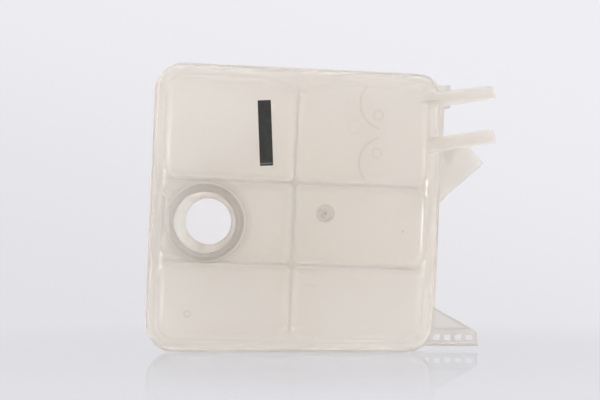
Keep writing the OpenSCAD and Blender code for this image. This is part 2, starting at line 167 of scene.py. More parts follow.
# Hose nipples and the shield plate behind them
NIPPLE_R = 5.15
NIPPLE_BORE_R = 2.9
NIPPLE_REACH = 34.9
NIPPLE_DOWN = 18.6
NIPPLE_PITCH = 31.3
NIPPLE_SINK = 6.5
NIPPLE_DRAFT = 0.35
NIPPLE_CLEAR = 1.5
HIGH_NIPPLE_RISE = 6.6
LOW_NIPPLE_RISE = 8.1
NIPPLE_TIP_L = 3.0
NIPPLE_TIP_IN = 1.6
SHIELD_REACH = 6.6
SHIELD_ABOVE = 11.1
SHIELD_STEP = 6.3
SHIELD_FOOT = 3.0
SHIELD_SLANT = 1.0
SHIELD_FOOT_SHARE = 0.2
SHIELD_STEP_SHARE = 0.35
SHIELD_EDGE = 0.4
SHIELD_IN = FLANGE_LIP + WALL * 0.7

# Outlet stub
OUTLET_R = 13.0
OUTLET_BORE_R = 10.2
OUTLET_REACH = 33.0
OUTLET_Z = 122.7
OUTLET_RISE = 41.0
OUTLET_TIP_L = 1.8
OUTLET_DRAFT = 0.5
OUTLET_TIP_BOW = 0.9
OUTLET_TIP_IN = 1.1

# Slotted bracket
BRACKET_REACH = 35.3
BRACKET_BACK = 39.5
BRACKET_LIFT = 2.4
BRACKET_DEPTH = 25.0
BRACKET_T = 2.2
BRACKET_SLOPE = 29.7
RAIL_H = 12.6
RAIL_T = 6.0
SLOT_PITCH = 7.8
SLOT_W = 4.7
SLOT_H = 3.6
SLOT_FROM_END = 3.6
SLOT_UP = 2.0
SLOTS = 5
NOSE_IN = 3.5
NOSE_DROP = 0.7
NOSE_H = 2.1
RIM_TOE = 3.0
GUSSET_T = 1.5
FOOT_RIB_L = REAR_DEPTH * 0.7
FOOT_RIB_T = 2.5

# Black strip
STRIP_W = 9.2
STRIP_L = 45.5
STRIP_T = 0.9
STRIP_EDGE = 0.25
STRIP_IN = 21.8
STRIP_DOWN = 48.6
STRIP_LEAN = 2.05

# Painted shade of the mould's dial on the face, with its strokes as radius, turn and half length in
# degrees
DIAL_R = 6.5
DIAL_PIP_R = 1.2
DIAL_SHADE = 1.3
DIAL_DARK = 3.2
DIAL_EDGE_IN = 0.6
DIAL_EDGE_W = 0.5
DIAL_EDGE_SHADE = DIAL_SHADE * 1.4
DIAL_STROKE_W = 0.8
DIAL_STROKES = ((4.4, 152, 20), (2.9, 235, 38), (4.9, 300, 34))
# Faint rings on the face as x, z, radius, width and shade
FAINT_RINGS = ((-69.6, 29.4, 2.1, 0.8, 1.3), (46.9, 159.4, 4.8, 1.2, 0.4))
# Specks and scratches, and a dark streak at the upper nipple's root, as x, z, half length, half width,
# turn and shade
SPECKS = (
    (80.1, 86.8, 1.0, 0.6, 60, 2.2),
    (16.9, 49.1, 4.6, 0.5, -4, 0.7),
    (-30.4, 16.2, 3.0, 0.5, 8, 0.6),
    (99.5, 177.0, 7.0, 0.9, 6, 1.4),
)
# Painted shade where the posts' feet meet the face from inside
POST_SHADE = 0.8

# Painted shade of the neck's end and collar, painted shadow on the seat round the collar and painted shade
# in the funnel.
# The pairs named sides are factors at the left and the right, which make the painted shade stronger at the
# right.
NECK_SHADE = 1.7
NECK_SIDES = (0.75, 1.15)
BAND_OUT = 1.6
COLLAR_SHADE = 1.5
COLLAR_LINE_IN = 0.7
COLLAR_LINE_W = 0.8
SEAT_SHADE = 0.7
SEAT_OFF = 1.2
SEAT_W = 2.6
SEAT_SOFT = 1.5
FUNNEL_SHADE = 0.75
FUNNEL_SIDES = (0.6, 1.9)
FUNNEL_LINE = 1.5
FUNNEL_LINE_SHADE = 1.6

# Painted light: a lighter patch of the far wall behind the neck, which shows brighter through the neck
LIT_PATCH_R = 26.0
LIT_PATCH_SOFT = 6.0
LIT_PATCH_FROM = 20.0
LIT_PATCH_TO = 30.0

# Painted shade along the grooves, as the grid points that its lines run between, and their shade
GROOVE_MARK_HALF = 3.5
END_IN = 8.0
SIDE_IN = 12.0
GROOVE_SHADES = (
    ((COLUMN_W, END_IN), (COLUMN_W, BODY_H - END_IN), 0.35),
    ((SIDE_IN, LOW_GROOVE), (BODY_W - SIDE_IN, LOW_GROOVE), 0.5),
    ((SIDE_IN, HIGH_GROOVE), (BODY_W - SIDE_IN, HIGH_GROOVE), 0.55),
)
# Painted shade on thin sheets that stand alone and painted dark lines along the bracket's edges, as x, z,
# half width, half height, turn and shade
SHEET_SHADES = (
    (116.0, 164.0, 6.0, 30.0, 0, 0.9),
    (124.0, 12.0, 26.0, 20.0, 0, 0.3),
    (124.0, 8.0, 26.0, 8.0, 0, 0.6),
    (119.0, 22.4, 19.0, 1.2, -29.7, 1.6),
    (118.0, 14.6, 18.0, 0.8, 0, 1.5),
    (137.2, 8.5, 0.9, 7.0, 0, 1.5),
    (120.0, 3.4, 20.0, 1.0, 0, 1.6),
)
SHEET_SOFT = 0.15
SHEETS_FROM = -20.0
SHEETS_TO = -15.0
MARK_SOFT = 0.35
MARK_DEPTH = 6.0

# Finish of the plastic and the foam
SKIN_DARK = (0.977, 0.949, 0.909, 1)
SKIN_LIGHT = (0.993, 0.974, 0.942, 1)
# Lighter tint of the painted light patch behind the neck
PAINTED_LIGHT_TINT = (0.993, 0.985, 0.975, 1)
SKIN_SPREAD = 0.35
ABSORB_TINT = (0.5, 0.49, 0.46, 1)
ABSORB_PER_M = 15
CLOUD_SCALE = 18
CLOUD_RANGE = (0.3, 0.7)
SCUFF_SCALE = 140
SCUFF_RANGE = (0.35, 0.65)
GRAIN_SCALE = 1600
GRAIN_STRENGTH = 0.12
GRAIN_DEPTH = 0.0002
SKIN_IOR = 1.3
ROUGH_LOW = 0.55
ROUGH_HIGH = 0.7
# The coat is glossier in a band at the outer shoulders, given by distances from the middle:
# where it starts, is full, starts to end and ends
COAT_PLAIN = 0.3
COAT_SHINE = 0.7
COAT_BAND_LEAN = -2.2
COAT_BAND = (65.0, 80.0, 93.0, 97.0)
COAT_ROUGHNESS = 0.17
# Tints of painted shade, which also colours the specks and scratches, and of painted shade along the
# grooves, and the share they take at full strength
SHADE_AND_SPECK_TINT = (0.30, 0.27, 0.22, 1)
GROOVE_SHADE_TINT = (0.25, 0.33, 0.43, 1)
MARK_SHARE = 0.15
FOAM_DARK = (0.020, 0.020, 0.018, 1)
FOAM_LIGHT = (0.034, 0.034, 0.030, 1)
FOAM_LINE = (0.12, 0.12, 0.11, 1)
FOAM_SHINE = 0.35
FOAM_ROUGHNESS = (0.75, 0.9)
WORN_SCALE = 160
WORN_RANGE = (0.4, 0.7)
CELL_SCALE = 1500
CELL_STRENGTH = 0.5
CELL_DEPTH = 0.0002
FOAM_LINE_UP = 1.6
FOAM_LINE_W = 0.4


def tan(degrees):
    return math.tan(math.radians(degrees))


def turned_by(axis, degrees):
    return Matrix.Rotation(math.radians(degrees), 4, axis)


# Surface of a half, as in the part's source


def row_fall(q):
    """Degrees by which a level line at height q falls to the right."""
    heights = [0, LOW_GROOVE, HIGH_GROOVE, BODY_H]
    return np.interp(q, heights, [0, LOW_GROOVE_FALL, HIGH_GROOVE_FALL, TOP_FALL])


def real(p, q):
    """Place x, z of a point p, q of the outline's own grid."""
    left = -BODY_W / 2 + q * tan(LEFT_LEAN)
    right = BODY_W / 2 + q * tan(RIGHT_LEAN)
    bow = RIGHT_BOW * 4 * q / BODY_H * (1 - q / BODY_H) * np.maximum(0, 2 * p / BODY_W - 1)
    x = left + (right - left) * p / BODY_W + bow
    return x, q - np.tan(np.radians(row_fall(q))) * x


def corner_radius(left, low):
    return np.where(left, np.where(low, CORNER_BL, CORNER_TL), np.where(low, CORNER_BR, CORNER_TR))


def rounded(p, q):
    """Swings the grid points near a corner onto the corner's arcs."""
    left = p < BODY_W / 2
    low = q < BODY_H / 2
    r = corner_radius(left, low)
    a = r - np.where(left, p, BODY_W - p)
    b = r - np.where(low, q, BODY_H - q)
    inside = (a > 0) & (b > 0)
    far = np.maximum(np.maximum(a, b), 1e-6)
    turn = np.radians(45 * np.minimum(a, b) / far)
    long_side = far * np.cos(turn)
    short_side = far * np.sin(turn)
    a = np.where(inside, np.where(a >= b, long_side, short_side), a)
    b_new = np.where(r - np.where(left, p, BODY_W - p) >= b, short_side, long_side)
    b = np.where(inside, b_new, b)
    return np.where(left, r - a, BODY_W - r + a), np.where(low, r - b, BODY_H - r + b)


def inward(p_in, q_in, r):
    """Distance inward from a rectangle whose nearest corner has radius r."""
    in_corner = (r > p_in) & (r > q_in)
    return np.where(in_corner, r - np.hypot(r - p_in, r - q_in), np.minimum(p_in, q_in))


def outline_inset(p, q):
    left = p < BODY_W / 2
    low = q < BODY_H / 2
    return inward(np.where(left, p, BODY_W - p), np.where(low, q, BODY_H - q), corner_radius(left, low))


def cushion_depth(p, q, edge, floor):
    """Distance inward from the edge of the cushion that p, q lies on."""
    left = p < COLUMN_W
    row = np.where(q < LOW_GROOVE, 0, np.where(q < HIGH_GROOVE, 1, 2))
    p_low = np.where(left, edge, COLUMN_W + floor)
    p_high = np.where(left, COLUMN_W - floor, BODY_W - edge)
    q_low = np.choose(row, [edge, LOW_GROOVE + floor, HIGH_GROOVE + floor])
    q_high = np.choose(row, [LOW_GROOVE - floor, HIGH_GROOVE - floor, BODY_H - edge])
    near_left = p < (p_low + p_high) / 2
    near_low = q < (q_low + q_high) / 2
    outer_p = near_left == left
    outer_q = np.where(near_low, row == 0, row == 2)
    p_in = np.where(near_left, p - p_low, p_high - p)
    q_in = np.where(near_low, q - q_low, q_high - q)
    r = np.where(outer_p, np.where(outer_q, CUSHION_R, NOTCH_R), CROSS_R)
    inside = inward(p_in, q_in, r)
    beyond_line = p_in / CHAMFER_W + q_in / CHAMFER_H - 1
    inside_chamfer = beyond_line * CHAMFER_W * CHAMFER_H / math.hypot(CHAMFER_W, CHAMFER_H)
    return np.where(outer_q & ~outer_p, np.minimum(inside, inside_chamfer), inside)


def share(d, w):
    return np.clip(d / w, 0, 1)


class Section:
    """Section of a half's surface: where its walls start, how deep they go and how the cushions rise."""

    def __init__(self, start, foot, depth, roll_w, inset, floor, shoulder_w):
        self.start = start
        self.foot = foot
        self.depth = depth
        self.roll_w = roll_w
        self.inset = inset
        self.floor = floor
        self.shoulder_w = shoulder_w

    def surface(self, p, q):
        c = cushion_depth(p, q, self.inset, self.floor)
        rim = share(outline_inset(p, q) - self.start, self.roll_w)
        roll = (1 - (1 - rim) ** ROLL_POWER) ** (1 / ROLL_POWER)
        arc = np.sqrt(1 - (1 - share(c, self.shoulder_w)) ** 2)
        crown = 1 - (1 - share(c, CROWN_W)) ** 2
        base = self.foot + (self.depth - self.foot - CUSHION_H - CROWN_H) * roll
        return base + CUSHION_H * arc + CROWN_H * crown

    def border_lines(self, fine):
        n_roll, n_arc, n_crown = fine
        turns = np.linspace(0, math.pi / 2, n_roll + 1)
        roll = self.start + self.roll_w * (1 - np.cos(turns) ** (2 / ROLL_POWER))
        arc = self.inset + self.shoulder_w * (1 - np.cos(np.linspace(0, math.pi / 2, n_arc + 1)))
        crown = self.inset + np.linspace(self.shoulder_w, CROWN_W, n_crown + 1)
        lip = [0, self.start * 0.5] if self.foot > 0 else []
        return thinned(np.concatenate([lip, roll, arc, crown]))

    def groove_lines(self, fine):
        _, n_arc, n_crown = fine
        arc = self.floor + self.shoulder_w * (1 - np.cos(np.linspace(0, math.pi / 2, n_arc + 1)))
        crown = self.floor + np.linspace(self.shoulder_w, CROWN_W, n_crown + 1)
        return thinned(np.concatenate([[0], arc, crown]))


def thinned(values):
    """Sorted values without those that lie closer than LEAST_STEP to the one before."""
    kept = []
    for value in sorted(values):
        if not kept or value - kept[-1] > LEAST_STEP:
            kept.append(value)
    return np.array(kept)


def grid_lines(size, grooves, border, groove, cell):
    """Grid lines from edge to edge: fine along borders and grooves, and no wider apart than cell."""
    lines = list(border) + list(size - border)
    for place in grooves:
        lines += list(place - groove) + list(place + groove)
    lines = thinned(lines)
    filled = [lines[0]]
    for value in lines[1:]:
        steps = math.ceil((value - filled[-1]) / cell)
        filled += list(np.linspace(filled[-1], value, steps + 1)[1:])
    return np.array(filled)


def outer_section(depth):
    return Section(FLANGE_LIP, FLANGE_T, depth, ROLL_W, CUSHION_INSET, GROOVE_HALF, SHOULDER_W)


def inner_section(depth, thick):
    return Section(
        FLANGE_LIP + thick,
        0,
        depth - thick,
        ROLL_W - thick,
        CUSHION_INSET + thick / 2,
        GROOVE_HALF + thick,
        SHOULDER_W - thick,
    )


# Solids: each is a closed mesh in the tank's own frame


def new_solid(name, points, faces):
    mesh = bpy.data.meshes.new(name)
    mesh.from_pydata([tuple(point) for point in points], [], faces)
    tool = bpy.data.objects.new(name, mesh)
    bpy.context.collection.objects.link(tool)
    shape = bmesh.new()
    shape.from_mesh(mesh)
    bmesh.ops.recalc_face_normals(shape, faces=shape.faces)
    shape.to_mesh(mesh)
    shape.free()
    return tool


def pillow(name, section, fine, cell, skirt_y, side):
    """A half's surface as a closed solid. side is -1 in front of the weld plane and 1 behind it."""
    lines = (section.border_lines(fine), section.groove_lines(fine), cell)
    ps = grid_lines(BODY_W, [COLUMN_W], *lines)
    qs = grid_lines(BODY_H, [LOW_GROOVE, HIGH_GROOVE], *lines)
    p, q = rounded(*np.meshgrid(ps, qs))
    x, z = real(p, q)
    y = side * section.surface(p, q)
    columns = x.shape[1]
    last_row = x.shape[0] - 1
    last_column = columns - 1
    grid = np.stack([x, y, z], axis=-1).reshape(-1, 3)

    def at(row, column):
        return row * columns + column

    rim = [at(0, i) for i in range(last_column)]
    rim += [at(j, last_column) for j in range(last_row)]
    rim += [at(last_row, i) for i in range(last_column, 0, -1)]
    rim += [at(j, 0) for j in range(last_row, 0, -1)]
    skirt = grid[rim] * [1, 0, 1] + [0, side * skirt_y, 0]
    first = len(grid)
    middle = first + len(rim)
    points = np.concatenate([grid, skirt, [[0, side * skirt_y, BODY_H / 2]]])
    cells = [(j, i) for j in range(last_row) for i in range(last_column)]
    faces = [(at(j, i), at(j, i + 1), at(j + 1, i + 1), at(j + 1, i)) for j, i in cells]
    for n, corner in enumerate(rim):
        m = (n + 1) % len(rim)
        faces += [(rim[m], corner, first + n, first + m), (first + m, first + n, middle)]
    return new_solid(name, points, faces)


def turned_solid(name, section, steps, at):
    """Solid of revolution of a closed section of radius and height, about the z axis of at."""
    points = []
    for n in range(steps):
        turn = 2 * math.pi * n / steps
        points += [at @ Vector((r * math.cos(turn), r * math.sin(turn), h)) for r, h in section]
    count = len(section)
    faces = []
    for n in range(steps):
        m = (n + 1) % steps
        for c in range(count):
            d = (c + 1) % count
            faces.append((n * count + c, m * count + c, m * count + d, n * count + d))
    return new_solid(name, points, faces)


def round_bar(name, rings, steps, at):
    """Solid bar of radius r at each height h of rings, with flat ends."""
    points = []
    for r, h in rings:
        for n in range(steps):
            turn = 2 * math.pi * n / steps
            points.append(at @ Vector((r * math.cos(turn), r * math.sin(turn), h)))
    faces = [tuple(range(steps))[::-1], tuple(range((len(rings) - 1) * steps, len(rings) * steps))]
    for level in range(len(rings) - 1):
        low = level * steps
        for n in range(steps):
            m = (n + 1) % steps
            faces.append((low + n, low + m, low + steps + m, low + steps + n))
    return new_solid(name, points, faces)


def plate(name, outline, low, high, at):
    """Outline in x and y, raised from low to high along z of at."""
    points = [at @ Vector((x, y, level)) for level in (low, high) for x, y in outline]
    count = len(outline)
    faces = [tuple(range(count))[::-1], tuple(range(count, 2 * count))]
    faces += [(n, (n + 1) % count, count + (n + 1) % count, count + n) for n in range(count)]
    return new_solid(name, points, faces)


def box(name, low, high, at=Matrix()):
    outline = [(low[0], low[1]), (high[0], low[1]), (high[0], high[1]), (low[0], high[1])]
    return plate(name, outline, low[2], high[2], at)


def combine(target, tools, operation):
    """Adds the tools to the target, or cuts them from it, as one watertight mesh."""
    for tool in tools:
        step = target.modifiers.new(operation, "BOOLEAN")
        step.operation = operation
        step.solver = "MANIFOLD"
        step.object = tool
    depsgraph = bpy.context.evaluated_depsgraph_get()
    mesh = bpy.data.meshes.new_from_object(target.evaluated_get(depsgraph))
    target.modifiers.clear()
    target.data = mesh
    for tool in tools:
        bpy.data.objects.remove(tool)


def facing_front(x, z):
    """Frame on the tank's face: x across, y up and z out of the weld plane to the front."""
    return Matrix.Translation((x, 0, z)) @ turned_by("X", 90)


# Places that more than one piece uses
NECK_R = NECK_BORE_R + NECK_WALL
RIM_OUT = FRONT_DEPTH + NECK_H
SEAT_OUT = FRONT_DEPTH - CUSHION_H - CROWN_H - WALL / 2
NECK_END = SEAT_OUT - 2
INSIDE_OUT = FRONT_DEPTH - INSIDE_SINK
NECK_X, NECK_Z = real(NECK_IN, LOW_GROOVE + (HIGH_GROOVE - LOW_GROOVE) / 2 - NECK_DROP)
HIGH_NIPPLE_X, HIGH_NIPPLE_Z = real(BODY_W, BODY_H - NIPPLE_DOWN)
LOW_NIPPLE_Z = HIGH_NIPPLE_Z - NIPPLE_PITCH
NIPPLE_OUT = FRONT_DEPTH - NIPPLE_SINK
NIPPLE_ROOT = CUSHION_INSET + SHOULDER_W
NIPPLE_TIP_R = NIPPLE_R - NIPPLE_TIP_IN
OUTLET_X = real(BODY_W, OUTLET_Z)[0]
OUTLET_CLEAR = OUTLET_R * tan(OUTLET_RISE) + 0.5
BRACKET_X = BODY_W / 2 + BRACKET_REACH
BRACKET_IN = BODY_W / 2 - CORNER_BR
RAIL_TOP = BRACKET_LIFT + RAIL_H

# The part's frame has its origin under the middle of the tank's box
LOW_X = -BODY_W / 2 + CORNER_BL * tan(LEFT_LEAN)
HIGH_X = HIGH_NIPPLE_X + NIPPLE_REACH * math.cos(math.radians(HIGH_NIPPLE_RISE))
HIGH_X += NIPPLE_TIP_R * math.sin(math.radians(HIGH_NIPPLE_RISE))
MIDDLE_X = (LOW_X + HIGH_X) / 2
MIDDLE_Y = (REAR_DEPTH - RIM_OUT) / 2
TO_ROW = Matrix.Scale(MM, 4) @ Matrix.Translation((-MIDDLE_X, -MIDDLE_Y, 0))


def part_at_weld(piece, side):
    """Draws a half's weld face back by a hair, so that light meets one face at a time."""
    for vertex in piece.data.vertices:
        if abs(vertex.co.y) < WELD_HAIR:
            vertex.co.y = side * WELD_HAIR


def finish_piece(piece, material, node):
    """Moves a finished mesh from the tank's frame into the row's, and dresses it."""
    piece.data.transform(TO_ROW)
    piece.data.materials.clear()
    piece.data.materials.append(material)
    piece.data.polygons.foreach_set("use_smooth", [True] * len(piece.data.polygons))
    piece.data.set_sharp_from_angle(angle=math.radians(SHARP_FROM))
    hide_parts(node)
    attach(piece, "root")
    return piece


# Sub-parts of the two halves


def half(name, depth, side):
    """Outer solid of a half, and the solid that hollows it and opens it at the weld plane."""
    shell = pillow(name, outer_section(depth), OUTER_STEPS, OUTER_CELL, 0, side)
    hollow = pillow(name + "_hollow", inner_section(depth, WALL), INNER_STEPS, INNER_CELL, -1, side)
    return shell, hollow


def baffle(points, depth, holes, side):
    """Inner wall under a groove, with half-round flow holes at the weld plane."""
    start = Vector(points[0])
    run = Vector(points[-1]) - start
    middle = inner_section(depth, WALL / 2)
    full = middle.depth - CUSHION_H - CROWN_H
    turns = [math.pi / 2 * n / (BAFFLE_STEPS - 1) for n in range(BAFFLE_STEPS)]
    rise = [full * math.sin(t) ** (2 / ROLL_POWER) for t in turns]
    section = [((Vector(p) - start).length, d) for p, d in zip(points, rise + rise[::-1])]
    slope = math.degrees(math.atan2(run.y, run.x))
    along = Matrix.Translation((start.x, 0, start.y)) @ turned_by("Y", -slope)
    along = along @ turned_by("X", 180 if side < 0 else 0)
    wall = plate("baffle", section, -BAFFLE_T / 2, BAFFLE_T / 2, along)
    bores = []
    rings = [(FLOW_R, -BAFFLE_T), (FLOW_R, BAFFLE_T)]
    for hole in holes:
        place = along @ Matrix.Translation(((Vector(hole) - start).length, 0, 0))
        bores.append(round_bar("flow_hole", rings, HOLE_STEPS, place))
    combine(wall, bores, "DIFFERENCE")
    return wall


def baffles(depth, side):
    """Walls under the upright groove and the two level ones, with flow holes that join the chambers."""
    middle = inner_section(depth, WALL / 2)
    turns = [math.pi / 2 * n / (BAFFLE_STEPS - 1) for n in range(BAFFLE_STEPS)]
    insets = [middle.start + middle.roll_w * (1 - math.cos(t) ** (2 / ROLL_POWER)) for t in turns]
    upright = insets + [BODY_H - d for d in insets[::-1]]
    level = insets + [BODY_W - d for d in insets[::-1]]
    row_middles = [LOW_GROOVE / 2, (LOW_GROOVE + HIGH_GROOVE) / 2, (HIGH_GROOVE + BODY_H) / 2]
    column_middles = [COLUMN_W / 2, (COLUMN_W + BODY_W) / 2]
    points = [real(COLUMN_W, q) for q in upright]
    holes = [real(COLUMN_W, q) for q in row_middles]
    walls = [baffle(points, depth, holes, side)]
    for groove in (LOW_GROOVE, HIGH_GROOVE):
        points = [real(p, groove) for p in level]
        holes = [real(p, groove) for p in column_middles]
        walls.append(baffle(points, depth, holes, side))
    return walls


def rounded_edge(r, out, side):
    """Quarter circle from an end face to the wall at radius r. side is -1 on a bore and 1 on a tube."""
    turns = np.linspace(0, math.pi / 2, EDGE_STEPS)
    return [(r - side * NECK_EDGE * (1 - math.sin(t)), out - NECK_EDGE * (1 - math.cos(t))) for t in turns]


def neck(at):
    """Filler neck: tube, collar and funnel as one turned section, open all the way through."""
    collar_out = FRONT_DEPTH + COLLAR_H
    fillet = min(COLLAR_R - NECK_R, NECK_H - COLLAR_H) / 2
    seal_end = RIM_OUT - SEAL_BORE_L
    funnel_end = FUNNEL_R + (NECK_BORE_R - FUNNEL_R) * (NECK_END - FUNNEL_GAP) / (seal_end - FUNNEL_GAP)
    section = rounded_edge(NECK_BORE_R, RIM_OUT, -1)[::-1] + rounded_edge(NECK_R, RIM_OUT, 1)
    for t in np.linspace(0, math.pi / 2, FILLET_STEPS):
        section.append((NECK_R + fillet * (1 - math.cos(t)), collar_out + fillet * (1 - math.sin(t))))
    section += rounded_edge(COLLAR_R, collar_out, 1)
    section += [(COLLAR_R, SEAT_OUT), (NECK_R, SEAT_OUT), (NECK_R, NECK_END)]
    section += [(funnel_end + FUNNEL_WALL, NECK_END), (FUNNEL_R + FUNNEL_WALL, FUNNEL_GAP)]
    section += [(FUNNEL_R, FUNNEL_GAP), (NECK_BORE_R, seal_end)]
    return turned_solid("neck", section, NECK_STEPS, at)


def thread(at):
    """Ridge swept along a helix round the neck, fading out over THREAD_FADE steps at both ends."""
    last = round(THREAD_TURNS * THREAD_STEPS)
    low_out = RIM_OUT - THREAD_BELOW_RIM - THREAD_TURNS * THREAD_PITCH
    root = NECK_R - THREAD_SINK
    crest = THREAD_SINK + THREAD_H
    root_h, edge_h, crest_h = THREAD_HALF_H
    section = [(0, -root_h), (crest - THREAD_EDGE, -edge_h), (crest, -crest_h)]
    section += [(rise, -h) for rise, h in section[::-1]]
    points = []
    for n in range(last + 1):
        fade = max(THREAD_LEAST, min(1, n / THREAD_FADE, (last - n) / THREAD_FADE))
        turn = 2 * math.pi * n / THREAD_STEPS
        out = low_out + THREAD_PITCH * n / THREAD_STEPS
        for rise, h in section:
            r = root + rise * fade
            points.append(at @ Vector((r * math.cos(turn), r * math.sin(turn), out + h)))
    count = len(section)
    faces = [tuple(range(count))[::-1], tuple(range(last * count, (last + 1) * count))]
    for n in range(last):
        for c in range(count):
            d = (c + 1) % count
            faces.append((n * count + c, n * count + d, (n + 1) * count + d, (n + 1) * count + c))
    return new_solid("thread", points, faces)


def cap_stop(at):
    stop = box(
        "cap_stop",
        (COLLAR_R - 1, -CAP_STOP_W / 2, SEAT_OUT),
        (COLLAR_R + CAP_STOP_L, CAP_STOP_W / 2, FRONT_DEPTH + COLLAR_H / 2),
        at @ turned_by("Z", CAP_STOP_TURN),
    )
    soften(stop, CAP_STOP_EDGE)
    return stop


def soften(tool, width):
    """Rounds the edges of a solid that turn by more than ROUNDED_FROM degrees."""
    step = tool.modifiers.new("round", "BEVEL")
    step.width = width
    step.segments = 2
    step.limit_method = "ANGLE"
    step.angle_limit = math.radians(ROUNDED_FROM)
    depsgraph = bpy.context.evaluated_depsgraph_get()
    mesh = bpy.data.meshes.new_from_object(tool.evaluated_get(depsgraph))
    tool.modifiers.clear()
    tool.data = mesh


def along_nipple(z, rise):
    return Matrix.Translation((HIGH_NIPPLE_X, -NIPPLE_OUT, z)) @ turned_by("Y", 90 - rise)


def nipple(at):
    straight = NIPPLE_REACH - NIPPLE_TIP_L
    rings = [(NIPPLE_R + NIPPLE_DRAFT, -NIPPLE_ROOT), (NIPPLE_R, NIPPLE_CLEAR), (NIPPLE_R, straight)]
    for t in np.linspace(0, math.pi / 2, TIP_STEPS)[1:]:
        r = NIPPLE_R - NIPPLE_TIP_IN * (1 - math.cos(t))
        rings.append((r, straight + NIPPLE_TIP_L * math.sin(t)))
    return round_bar("nipple", rings, NIPPLE_STEPS, at)


def nipple_bore(at):
    rings = [(NIPPLE_BORE_R, -NIPPLE_ROOT - 1), (NIPPLE_BORE_R, NIPPLE_REACH + 1)]
    return round_bar("nipple_bore", rings, NIPPLE_STEPS, at)


def shield():
    """The flange widened behind the nipples, with a step between them."""
    top = HIGH_NIPPLE_Z + SHIELD_ABOVE
    step = HIGH_NIPPLE_Z - SHIELD_STEP
    foot = LOW_NIPPLE_Z + SHIELD_FOOT
    edge = HIGH_NIPPLE_X
    inner = edge - SHIELD_IN
    outline = [
        (inner, foot),
        (edge + SHIELD_REACH * SHIELD_FOOT_SHARE, foot),
        (edge + SHIELD_REACH * SHIELD_STEP_SHARE, step),
        (edge + SHIELD_REACH, step + SHIELD_SLANT),
        (edge + SHIELD_REACH, top),
        (inner, top),
    ]
    sheet = plate("shield", outline, 0, FLANGE_T, turned_by("X", 90))
    soften(sheet, SHIELD_EDGE)
    return sheet


def splash_wall(x, z, start):
    inner = SPLASH_R - SPLASH_T / 2
    outer = SPLASH_R + SPLASH_T / 2
    turns = np.radians(np.linspace(start, start + SPLASH_TURN, SPLASH_STEPS + 1))
    outline = [(outer * math.cos(t), outer * math.sin(t)) for t in turns]
    outline += [(inner * math.cos(t), inner * math.sin(t)) for t in turns[::-1]]
    return plate("splash_wall", outline, INSIDE_OUT - SPLASH_L, INSIDE_OUT, facing_front(x, z))


def post(x, z):
    section = [(POST_BORE_R, INSIDE_OUT - POST_L), (POST_R, INSIDE_OUT - POST_L), (POST_R, INSIDE_OUT)]
    section += [(POST_BORE_R, INSIDE_OUT)]
    return turned_solid("post", section, HOLE_STEPS, facing_front(x, z))


def splash_walls():
    """Curved walls inside the face, left of the nipples, each with a hollow post."""
    walls = []
    for z, (left, down, start), (post_x, post_z) in (
        (HIGH_NIPPLE_Z, HIGH_SPLASH, HIGH_POST),
        (LOW_NIPPLE_Z, LOW_SPLASH, LOW_POST),
    ):
        centre_x = HIGH_NIPPLE_X - left
        centre_z = z - down
        walls.append(splash_wall(centre_x, centre_z, start))
        walls.append(post(centre_x + post_x, centre_z + post_z))
    return walls


def gate_mark():
    """Low disc with a pip."""
    at = facing_front(*real(COLUMN_W + GATE_IN, LOW_GROOVE + GATE_UP))
    disc_out = FRONT_DEPTH + GATE_RISE
    rings = [(GATE_R, INSIDE_OUT), (GATE_R, disc_out - GATE_EDGE_H), (GATE_R - GATE_EDGE_W, disc_out)]
    rings += [(GATE_R / 3 + GATE_PIP_DRAFT, disc_out), (GATE_R / 3, FRONT_DEPTH + GATE_PIP_RISE)]
    return round_bar("gate_mark", rings, GATE_STEPS, at)


def along_outlet():
    return Matrix.Translation((OUTLET_X, REAR_DEPTH / 2, OUTLET_Z)) @ turned_by("Y", 90 - OUTLET_RISE)


def outlet(at):
    straight = OUTLET_REACH - OUTLET_TIP_L
    rings = [(OUTLET_R + OUTLET_DRAFT, -2 * OUTLET_R), (OUTLET_R, OUTLET_CLEAR), (OUTLET_R, straight)]
    for t in (0.4, 0.7, 0.9):
        rings.append((OUTLET_R - OUTLET_TIP_BOW * t * t, straight + OUTLET_TIP_L * t))
    rings.append((OUTLET_R - OUTLET_TIP_IN, OUTLET_REACH))
    return round_bar("outlet", rings, OUTLET_STEPS, at)


def outlet_bore(at):
    rings = [(OUTLET_BORE_R, -2 * OUTLET_R - 1), (OUTLET_BORE_R, OUTLET_REACH + 1)]
    return round_bar("outlet_bore", rings, OUTLET_STEPS, at)


def upright_plate(name, outline, t):
    at = Matrix.Translation((0, BRACKET_BACK, 0)) @ turned_by("X", 90)
    return plate(name, outline, -t / 2, t / 2, at)


